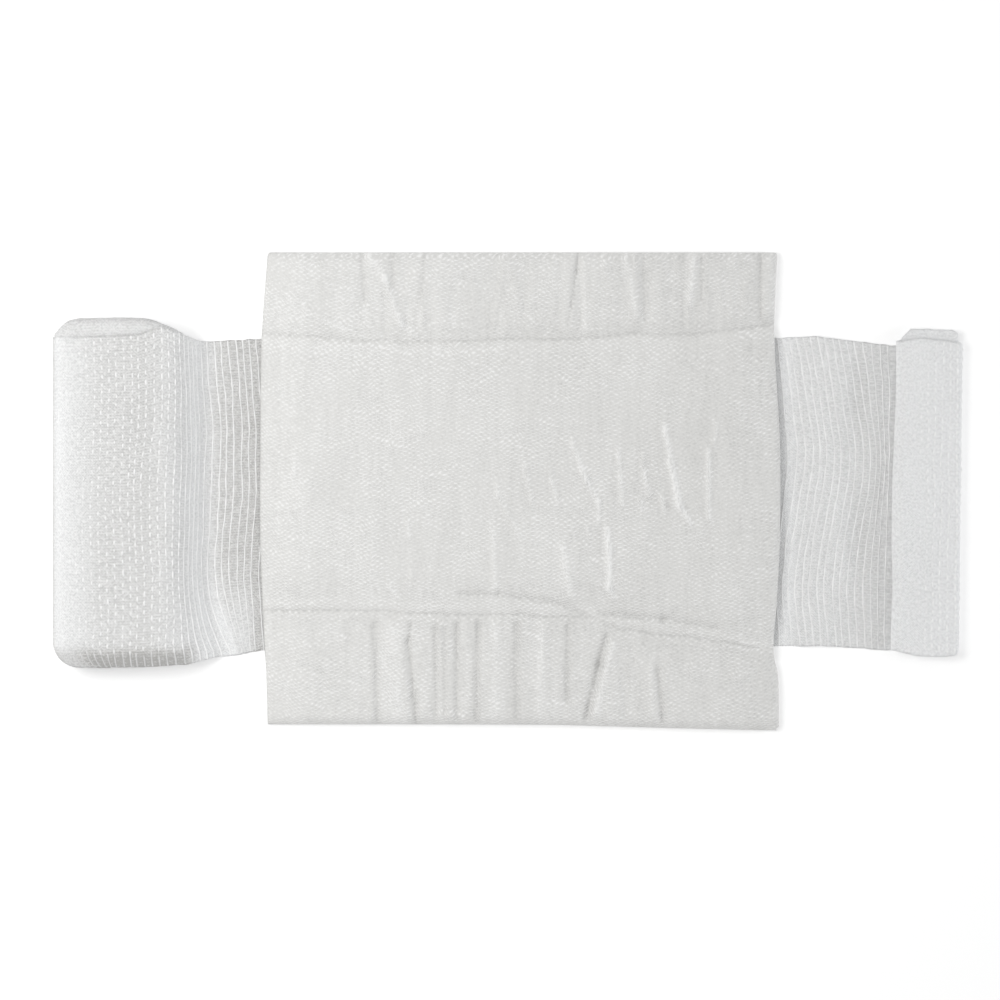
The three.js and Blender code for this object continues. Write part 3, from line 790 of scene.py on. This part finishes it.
def at_length(line, s):
    """The middle line's place, heading and edges at lengths along it."""
    return [np.interp(s, line["s"], line[key]) for key in ("x", "z", "heading", "upper", "lower")]


def crown(x, z):
    """The higher a turn of the roll lies, the more it is lifted, most in the middle of the roll."""
    across = np.clip(1 - ((x - ROLL_MIDDLE) / ROLL_CROWN_REACH) ** 2, 0.0, 1.0)
    return z + ROLL_CROWN * across * (z / ROLL_HEIGHT) ** 2


def wave(x, start, end, height):
    """One soft wave between two places: height times sin^2."""
    return height * np.sin(math.pi * np.clip((x - start) / (end - start), 0.0, 1.0)) ** 2


def settle_bandage(x, y, z):
    """How the laid bandage settles: crown of the roll, overhanging edge, drift of the slope, waves and
    bulges of the strip, skew, corners and wavy fold of the short end, sinking and small ripples."""
    new_z = crown(x, z)
    into_overhang = np.clip((OVERHANG_START - y) / OVERHANG_REACH, 0.0, 1.0)
    overhang = into_overhang**2
    corner = 1 - np.sqrt(1 - overhang)
    new_x = x + np.maximum(ROLL_MIDDLE - x, 0.0) * OVERHANG_CLOSING * corner
    on_roll = 1 - smooth((x - ROLL_RIGHT) / SLOPE_RUN)
    new_z = new_z - np.maximum(new_z - WALL, 0.0) * OVERHANG_SAG * overhang * on_roll
    from_toe = np.abs(x - ROLL_RIGHT - SLOPE_RUN) / TOE_DRIFT_REACH
    low = np.clip((TOE_DRIFT_UPPER - y) / TOE_DRIFT_FALL, 0.0, 1.0) ** 2
    new_x = new_x + TOE_DRIFT * low * (1 - smooth(from_toe))
    new_z = new_z + wave(x, WAVE_START, WAVE_MIDDLE, FIRST_WAVE)
    new_z = new_z + wave(x, WAVE_MIDDLE, WAVE_END, SECOND_WAVE)
    on_tail = smooth((x - WAVE_MIDDLE) / TAIL_SKEW_RUN)
    new_x = new_x - TAIL_SKEW * on_tail * (TAIL_SKEW_START - y / BANDAGE_WIDTH)
    bulge = look_up(STRIP_BULGES, "y", "rise", y / HALF_BANDAGE)
    new_z = new_z + bulge * np.exp(-(((x - BULGE_X) / BULGE_REACH) ** 2))
    to_corner = np.clip((x - TAIL_RIGHT) / TAIL_CORNER + 1, 0.0, 1.0)
    near_edge = smooth((np.abs(y) - TAIL_CORNER_Y) / TAIL_CORNER_RUN)
    y = y - np.sign(y) * TAIL_CORNER * (1 - np.sqrt(1 - to_corner**2)) * near_edge
    at_fold = np.exp(-(((x - TAIL_LEFT) / TAIL_WAVER_REACH) ** 2))
    new_x = new_x + at_fold * TAIL_WAVER * soft_noise(y, 0.0, 17.0, 1.0, 21)
    new_z = new_z - FLOOR_SINK * (1 - smooth(new_z / FLOOR_SINK_REACH))
    ripple = RIPPLE * soft_noise(x, y, 9.0, 30.0, 22) * smooth((z - 0.4) / 3.0)
    return np.stack([new_x, y + 0 * new_x, new_z + ripple], axis=-1)


def settle_roll(x, y, z):
    """The wound turns' upper edge follows one arc across the roll, as seen from above."""
    arc = np.where(y > 0, look_up(ROLL_ARC, "x", "upper", x), 1.0)
    return np.stack([x, y * arc, crown(x, z)], axis=-1)


def cloth_place(line, settle, s, across, off):
    """Place on the cloth from the length along it, the share across it and the height off its middle."""
    x, z, heading, upper, lower = at_length(line, s)
    y = mix(lower, upper, across) * HALF_BANDAGE
    return settle(x - np.sin(heading) * off, y, z + np.cos(heading) * off)


def make_cloth(name, line, settle, s, across, tone, ragged):
    """Thin closed sheet along a middle line, with a slightly ragged edge on both sides."""
    s_grid, a_grid = np.meshgrid(s, across, indexing="ij")
    edge = np.abs(2 * a_grid - 1) ** 12 * np.sign(2 * a_grid - 1)
    shares = a_grid + edge * ragged * soft_noise(s_grid, a_grid, 2.3, 1.0, 31) / BANDAGE_WIDTH
    upper = cloth_place(line, settle, s_grid, shares, SHEET_THICKNESS / 2).reshape(-1, 3)
    lower = cloth_place(line, settle, s_grid, shares, -SHEET_THICKNESS / 2).reshape(-1, 3)
    uv = np.stack([s_grid, a_grid * BANDAGE_WIDTH], axis=-1).reshape(-1, 2)
    tones = tone(s_grid, (a_grid - 0.5) * BANDAGE_WIDTH).ravel()
    faces = slab_faces(len(s), len(across))
    return finish_mesh(name, np.concatenate([upper, lower]), [faces], np.concatenate([uv, uv]),
                       np.concatenate([tones, tones]))


# Heights, turning places and radii of the middle line
TAIL_TOP = FLOOR_RUN + 3 * TURN_PITCH
TAIL_TURN_X = TAIL_RIGHT - WALL / 2 - 1.5 * TURN_PITCH
TAIL_FOLD_X = TAIL_LEFT + WALL / 2 + TURN_PITCH
ROLL_TOP = ROLL_HEIGHT - WALL / 2
OUTER_RADIUS = (ROLL_TOP - FLOOR_RUN) / 2
ROLL_LEFT_X = ROLL_LEFT + WALL / 2 + OUTER_RADIUS
FIRST_INNER_RADIUS = OUTER_RADIUS - TURN_PITCH / 2
WOUND_RADIUS = OUTER_RADIUS - WOUND_GAP
ROLL_RIGHT_X = ROLL_RIGHT - WALL / 2 - FIRST_INNER_RADIUS
SHOULDER_RADIUS = FIRST_INNER_RADIUS + TURN_PITCH
SLOPE = math.radians(SLOPE_ANGLE)
SHOULDER_X = ROLL_RIGHT_X + SHOULDER_RADIUS * math.sin(SLOPE)
SLOPE_DROP = ROLL_TOP - FLOOR_RUN - (SHOULDER_RADIUS + TOE_RADIUS) * (1 - math.cos(SLOPE))
TOE_X = SHOULDER_X + SLOPE_DROP / math.tan(SLOPE) + TOE_RADIUS * math.sin(SLOPE)

# Middle line of the bandage, from the inner end of the short end to its end under the roll
BANDAGE_START = {"x": TAIL_INNER_END - TAIL_EASE_IN, "z": TAIL_TOP - TURN_PITCH, "heading": 0,
                 "upper": 0.955, "lower": -1.0}
BANDAGE_RUNS = [
    {"to_x": TAIL_INNER_END + TAIL_EASE, "upper": 1.012, "lower": -1.0},
    {"to_x": TAIL_TURN_X - TAIL_EASE, "upper": 1.006, "lower": -1.0},
    {"to_x": TAIL_TURN_X, "upper": 0.99, "lower": -1.0},
    {"turn": -90, "radius": TURN_PITCH / 2, "upper": 0.962, "lower": -1.0},
    {"turn": -90, "radius": TURN_PITCH / 2, "upper": 0.99, "lower": -1.005},
    {"to_x": TAIL_TURN_X - TAIL_EASE, "upper": 1.006, "lower": -1.005},
    {"to_x": TAIL_FOLD_X + 2 * TURN_PITCH, "upper": 1.0, "lower": -1.01},
    {"to_x": TAIL_FOLD_X, "upper": 0.94, "lower": -1.005},
    {"turn": -180, "radius": TURN_PITCH, "upper": 0.93, "lower": -1.0},
    {"to_x": mix(TAIL_LEFT, TAIL_RIGHT, 0.35), "upper": 0.954, "lower": -1.037},
    {"to_x": TAIL_TURN_X, "upper": 0.927, "lower": -1.039},
    {"turn": -180, "radius": 1.5 * TURN_PITCH, "upper": 0.925, "lower": -1.004},
    {"to_x": WAVE_END, "upper": 0.911, "lower": -1.0},
    {"to_x": WAVE_MIDDLE, "upper": 0.937, "lower": -0.985},
    {"to_x": mix(WAVE_START, WAVE_MIDDLE, 0.44), "upper": 0.968, "lower": -0.975},
    {"to_x": WAVE_START, "upper": 0.957, "lower": -0.975},
    {"to_x": 0, "upper": 0.957, "lower": -0.982},
    {"to_x": -1.02 * HALF_WIDTH, "upper": 0.952, "lower": -1.004},
    {"to_x": TOE_X, "upper": 0.935, "lower": -1.034},
    {"turn": -SLOPE_ANGLE, "radius": TOE_RADIUS, "upper": 0.937, "lower": -1.046},
    {"to_x": SHOULDER_X, "upper": 0.972, "lower": -1.084},
    {"turn": SLOPE_ANGLE, "radius": SHOULDER_RADIUS, "upper": 1.016, "lower": -1.095},
    {"to_x": mix(ROLL_LEFT_X, ROLL_RIGHT_X, 0.72), "upper": 0.965, "lower": -1.1},
    {"to_x": ROLL_LEFT_X, "upper": 0.955, "lower": -1.107},
    {"turn": 180, "radius": OUTER_RADIUS, "upper": 0.955, "lower": -1.1},
    {"to_x": ROLL_END - ROLL_END_GAP, "upper": 0.955, "lower": -1.07},
]


def wound_runs():
    """Half turns of the roll, each half a pitch smaller in radius than the one before."""
    rng = np.random.default_rng(71)
    runs = []
    count = math.floor(2 * (WOUND_RADIUS - WOUND_CORE) / WOUND_PITCH)
    for half in range(count):
        upper = 1 + float(rng.uniform(-0.006, 0.004))
        lower = WOUND_LOWER + float(rng.uniform(-0.006, 0.006))
        to_x = ROLL_RIGHT_X if half % 2 == 0 else ROLL_LEFT_X
        runs.append({"to_x": to_x, "upper": upper, "lower": lower})
        radius = WOUND_RADIUS - half * WOUND_PITCH / 2
        runs.append({"turn": 180, "radius": radius, "upper": upper, "lower": lower})
    return runs


bandage_line = walk(BANDAGE_START, BANDAGE_RUNS, LINE_STEP)
roll_start = {"x": ROLL_END, "z": FLOOR_RUN, "heading": 0, "upper": 1.0, "lower": WOUND_LOWER}
roll_line = walk(roll_start, wound_runs(), WOUND_LINE_STEP)


def length_at_x(line, x, after):
    """Length along the line, past a given length, at which it comes nearest to an x."""
    past = line["s"] >= after
    return float(line["s"][past][np.argmin(np.abs(line["x"][past] - x))])


# A length past the short end's layers, and a place just inside the pad's side edges
PAST_LAYERS = 75.0
UNDER_PAD_X = 86.0

# Lengths along the bandage: where it leaves the short end, where it has turned down before that, where it
# goes in under the pad and comes out, where it starts up the slope, where the roll's lengthwise threads
# start, and where it turns down at the roll's far side
LINE_END = float(bandage_line["s"][-1])
TAIL_OUT = length_at_x(bandage_line, WAVE_END, PAST_LAYERS)
TAIL_TURNED = TAIL_OUT - 26.0
PAD_IN = length_at_x(bandage_line, UNDER_PAD_X, TAIL_OUT)
PAD_OUT = length_at_x(bandage_line, -UNDER_PAD_X, TAIL_OUT)
SLOPE_IN = length_at_x(bandage_line, TOE_X, PAD_OUT)
ROLL_THREADS_IN = SLOPE_IN + 24.0
TURN_IN = length_at_x(bandage_line, ROLL_LEFT_X, SLOPE_IN)

# Whiteness of the cloth along the bandage: whiter where it lies in layers at the short end, painted light
# beside the pad's right edge and up the slope, painted shade on the strip left of the pad, and greyer
# then whiter again across the roll's top
CLOTH_TONES = table(["s", "tone"], [
    [0.0, 1.0],
    [TAIL_TURNED, 1.0],
    [TAIL_OUT - 10.0, 0.8],
    [TAIL_OUT, 0.66],
    [PAD_IN - 11.0, 0.72],
    [PAD_IN - 6.0, 1.1],
    [PAD_OUT, 0.1],
    [SLOPE_IN - 3.0, 0.1],
    [SLOPE_IN + 6.0, 1.1],
    [SLOPE_IN + 18.0, 0.6],
    [SLOPE_IN + 30.0, 0.3],
    [SLOPE_IN + 46.0, 0.42],
    [SLOPE_IN + 62.0, 1.0],
    [LINE_END, 0.8],
])

# Depth of the crosswise threads in layers of cloth along the bandage, in millimetres
THREAD_DEPTHS = table(["s", "depth"], [
    [0.0, 0.5],
    [TAIL_OUT - 44.0, 0.5],
    [TAIL_OUT - 38.0, 0.14],
    [TAIL_OUT - 29.0, 0.0],
    [TAIL_TURNED, 0.3],
    [SLOPE_IN + 12.0, 0.04],
    [SLOPE_IN + 30.0, 0.15],
    [SLOPE_IN + 46.0, 0.24],
    [SLOPE_IN + 58.0, 0.5],
    [LINE_END, 0.6],
])


def stacked(s):
    """0 on the single strip and 1 where the cloth lies on other layers."""
    on_tail = 1 - smooth((s - TAIL_TURNED) / 3.0)
    on_roll = smooth((s - SLOPE_IN - 12.0) / 14.0)
    return np.maximum(on_tail, on_roll)


def past_wound_edge(s, y):
    """1 where the outer turn hangs over the lower edge of the wound turns, with nothing behind it."""
    edge = WOUND_EDGE + WOUND_EDGE_WAVER * soft_noise(s, 0.0, 8.0, 1.0, 35)
    return smooth((s - SLOPE_IN - 10.0) / 10.0) * smooth((edge - y) / WOUND_EDGE_BLEND)


def outward(s):
    """Which way off the middle line is outside: to its left at the short end, to its right past it."""
    return np.where(s < TAIL_OUT, 1.0, -1.0)


def bandage_tone(s, y):
    """Whiteness of the cloth, partly painted light and shade: its table's along it, whiter on the lower
    toe of the slope, painted shade beside the strip's bulges, painted shade below 0 where the outer
    turn has nothing behind it, and painted shade round the roll's left side and under the roll."""
    low = smooth((TOE_DRIFT_UPPER - y) / TOE_DRIFT_FALL)
    on_toe = smooth((s - SLOPE_IN + 16.0) / 5.0) * (1 - smooth((s - SLOPE_IN) / 4.0))
    tone = along_rows(CLOTH_TONES, "tone", s) + 0.7 * low * on_toe
    rise = look_up(STRIP_BULGES, "y", "rise", y / HALF_BANDAGE)
    # Painted shade beside the strip's bulges
    tone = tone - 0.16 * rise * np.exp(-(((s - TAIL_OUT - 10.0) / 4.0) ** 2))
    # Painted shade where the outer turn hangs over the wound turns' lower edge with nothing behind it
    painted_overhang_shade = mix(-0.6, 0.4, smooth((s - SLOPE_IN - 46.0) / 12.0))
    tone = mix(tone, painted_overhang_shade, past_wound_edge(s, y))
    # Painted shade round the roll's left side and under the roll, with soft noise
    return tone - 0.8 * smooth((s - TURN_IN - 5.5) / 6.0) + 0.05 * soft_noise(s, y, 11.0, 14.0, 33)


def wound_tone(s, y):
    """Whiteness of the wound turns: one value with soft noise."""
    return 0.6 + 0.1 * soft_noise(s, y, 3.0, 6.0, 34)


def sway(s, y):
    """Shared wander of neighbouring crosswise threads, in millimetres along the cloth: the strips'
    bows, fading out towards the pad and the short end, and noise."""
    share = y / HALF_BANDAGE
    middle = (TAIL_OUT + PAD_IN) / 2
    on_right = np.clip(1 - np.abs((s - middle) / (0.62 * (PAD_IN - TAIL_OUT))), 0.0, 1.0)
    on_left = smooth((s - PAD_OUT + 8.0) / 8.0) * (1 - smooth((s - SLOPE_IN - 8.0) / 16.0))
    bow = smooth(1.6 * on_right) * look_up(THREAD_BOWS, "y", "right_strip", share)
    bow = bow + on_left * look_up(THREAD_BOWS, "y", "left_strip", share)
    loose = mix(0.8, 1.1, stacked(s))
    noise = 0.9 * soft_noise(s, y, 34.0, 38.0, 41) + 0.5 * soft_noise(s, y, 12.0, 13.0, 42)
    return loose * noise - bow


def thread_lift(s, y, dash):
    """How far a crosswise thread's middle lies off the cloth's. On a single layer it is level. On
    layers it dips out of sight between its dashes, and where the cloth is smooth it lies deeper."""
    depth = along_rows(THREAD_DEPTHS, "depth", s) + 0.14 * soft_noise(s, y, 5.0, 7.0, 43)
    on_layers = stacked(s) * (1 - past_wound_edge(s, y))
    return outward(s) * on_layers * (DASH_LIFT * dash - depth)


def make_cross_threads(name, starts, rings, sides, seed):
    """Crosswise threads: tubes from edge to edge of the cloth at a constant length along it, swaying
    together and weaving up and down past the long threads."""
    rng = np.random.default_rng(seed)
    order = np.arange(len(starts))[:, None]
    row = CROSS_NOISE_ROW * order
    share = np.linspace(0.001, 0.999, rings)
    y = (share[None, :] - 0.5) * BANDAGE_WIDTH
    s = starts[:, None] + rng.uniform(-0.25, 0.25, len(starts))[:, None]
    s = s + sway(s, y) + 0.22 * soft_noise(y, row, 6.0, 1.0, seed + 1)
    phase = math.pi * order + 2.4 * soft_noise(y, row, 7.0, 1.0, seed + 2)
    dash = np.sin(2 * math.pi * y / DASH_PITCH + phase)
    off = thread_lift(s, y, dash)
    radius = CROSS_THREAD_RADIUS * (1 + 0.18 * soft_noise(y, row, 2.0, 1.0, seed + 3))
    angle = 2 * math.pi * np.arange(sides) / sides
    ring_s = s[:, :, None] + radius[:, :, None] * np.sin(angle)
    ring_off = off[:, :, None] + radius[:, :, None] * np.cos(angle)
    ring_across = np.broadcast_to(share[None, :, None], ring_s.shape)
    points = cloth_place(bandage_line, settle_bandage, ring_s, ring_across, ring_off)
    # Yarn tone with noise, and a painted highlight on the raised dashes where the cloth lies in layers
    yarn_tone_and_painted_light = 0.84 + 0.3 * soft_noise(y, row, 2.6, 1.0, seed + 4) + 0.16 * dash * stacked(s)
    # Painted shade where the outer turn overhangs with nothing behind it
    yarn_tone_and_painted_light = yarn_tone_and_painted_light - 0.8 * past_wound_edge(s, y)
    tone = np.repeat(yarn_tone_and_painted_light.ravel(), sides)
    return finish_mesh(name, points.reshape(-1, 3), tube_faces(len(starts), rings, sides), tone=tone)


def make_long_threads(name, start, end, sides, seed):
    """Lengthwise threads: tubes along the cloth at a constant share across it, passing over one
    crosswise thread and under the next."""
    rng = np.random.default_rng(seed)
    count = int(BANDAGE_WIDTH / LONG_THREAD_PITCH)
    order = np.arange(count)[:, None]
    s = np.linspace(start, end, math.ceil((end - start) / LONG_THREAD_STEP) + 1)
    wander = 0.16 * soft_noise(s[None, :], LONG_NOISE_ROW * order, 3.0, 1.0, seed + 1)
    scatter = rng.uniform(-0.2, 0.2, count)[:, None]
    across = (order + 0.5) / count + (scatter + wander) / BANDAGE_WIDTH
    weave = np.cos(math.pi * s[None, :] / CROSS_THREAD_PITCH + math.pi * (order % 2))
    off = LONG_THREAD_WEAVE * weave - LONG_THREAD_SINK * outward(s) * stacked(s)
    angle = 2 * math.pi * np.arange(sides) / sides
    ring_across = across[:, :, None] + LONG_THREAD_RADIUS * np.sin(angle) / BANDAGE_WIDTH
    ring_off = off[:, :, None] + LONG_THREAD_RADIUS * np.cos(angle)
    ring_s = np.broadcast_to(s[None, :, None], ring_off.shape)
    points = cloth_place(bandage_line, settle_bandage, ring_s, ring_across, ring_off)
    # Lighter on a single layer, plus the cloth's tone with its painted light and shade
    tone = mix(0.3, 0.0, stacked(ring_s)) + bandage_tone(ring_s, (ring_across - 0.5) * BANDAGE_WIDTH)
    return finish_mesh(name, points.reshape(-1, 3), tube_faces(count, len(s), sides), tone=tone.ravel())


# Make the pieces

pad_cover = pad_material()
ground = gauze_material()
yarn = thread_material("crosswise_yarn", 0.7, 0.99)
fine_yarn = thread_material("lengthwise_yarn", 0.7, 0.94)


def dress(piece, material):
    """Give a piece its material and slot, and let it ride on the dressing."""
    piece.data.materials.append(material)
    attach(piece, "root")
    return piece


pad = dress(make_pad(), pad_cover)
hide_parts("pad")

cloth_s = np.arange(0, LINE_END, CLOTH_STEP)
across_shares = np.concatenate([np.linspace(0, 0.1, 13), np.linspace(0.12, 0.98, 44), [0.99, 1.0]])
bandage = make_cloth("bandage_cloth", bandage_line, settle_bandage, cloth_s, across_shares,
                     bandage_tone, ragged=0.2)
dress(bandage, ground)
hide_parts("bandage")

wound_s = np.arange(0, float(roll_line["s"][-1]), WOUND_CLOTH_STEP)
wound_across = np.array([0.0, 0.02, 0.1, 0.3, 0.6, 0.85, 0.94, 0.97, 1.0])
roll = make_cloth("bandage_turns", roll_line, settle_roll, wound_s, wound_across,
                  wound_tone, ragged=0.25)
dress(roll, ground)
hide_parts("bandage_roll")

thread_starts = np.concatenate([
    np.arange(1.0, PAD_IN, CROSS_THREAD_PITCH),
    np.arange(PAD_OUT, LINE_END - 1.0, CROSS_THREAD_PITCH),
])
cross_threads = make_cross_threads("crosswise_threads", thread_starts, rings=220, sides=4, seed=51)
dress(cross_threads, yarn)

for zone, (start, end) in {
    "short_end": (0.5, TAIL_OUT),
    "right_strip": (TAIL_OUT, PAD_IN),
    "left_strip": (PAD_OUT, ROLL_THREADS_IN),
    "roll": (ROLL_THREADS_IN, LINE_END - 0.5),
}.items():
    threads = make_long_threads(f"lengthwise_threads_{zone}", start, end, sides=3, seed=61)
    dress(threads, fine_yarn)

# Floor, light and camera


def make_floor():
    """Large pale plane with a little light of its own, so that it stays white round the dressing."""
    corners = np.array([[-1, -1, 0], [1, -1, 0], [1, 1, 0], [-1, 1, 0]], dtype=float) * FLOOR_REACH
    mesh = bpy.data.meshes.new("floor")
    mesh.from_pydata(corners.tolist(), [], [(0, 1, 2, 3)])
    floor = add_object("floor", mesh)
    material, _, shader = new_material("white_floor", (0.88, 0.88, 0.88), 0.9, 0.0)
    shader.inputs["Emission Color"].default_value = (1.0, 1.0, 1.0, 1.0)
    shader.inputs["Emission Strength"].default_value = FLOOR_GLOW
    mesh.materials.append(material)


def make_light(name, place, size, power, colour):
    """Square soft light at a place in metres, turned towards the origin."""
    data = bpy.data.lights.new(name, "AREA")
    data.shape = "SQUARE"
    data.size = size
    data.energy = power
    data.color = colour
    light = add_object(name, data)
    light.location = place
    x, y, z = place
    light.rotation_euler = (math.atan2(math.hypot(x, y), z), 0, math.atan2(y, x) + math.pi / 2)


make_floor()
for row in LIGHTS:
    make_light(**row)

world = bpy.data.worlds.new("studio")
world.use_nodes = True
world.node_tree.nodes["Background"].inputs["Color"].default_value = (1.0, 1.0, 1.0, 1.0)
world.node_tree.nodes["Background"].inputs["Strength"].default_value = WORLD_GLOW
bpy.context.scene.world = world
bpy.context.scene.view_settings.view_transform = "Standard"
bpy.context.scene.view_settings.look = "None"

camera_data = bpy.data.cameras.new("camera")
camera_data.sensor_width = SENSOR_WIDTH
camera_data.lens = SENSOR_WIDTH * CAMERA_HEIGHT / FRAME_WIDTH
camera_data.clip_end = CAMERA_REACH
camera = add_object("camera", camera_data)
camera.location = (FRAME_CENTRE[0] * MM, FRAME_CENTRE[1] * MM, CAMERA_HEIGHT * MM)
bpy.context.scene.camera = camera
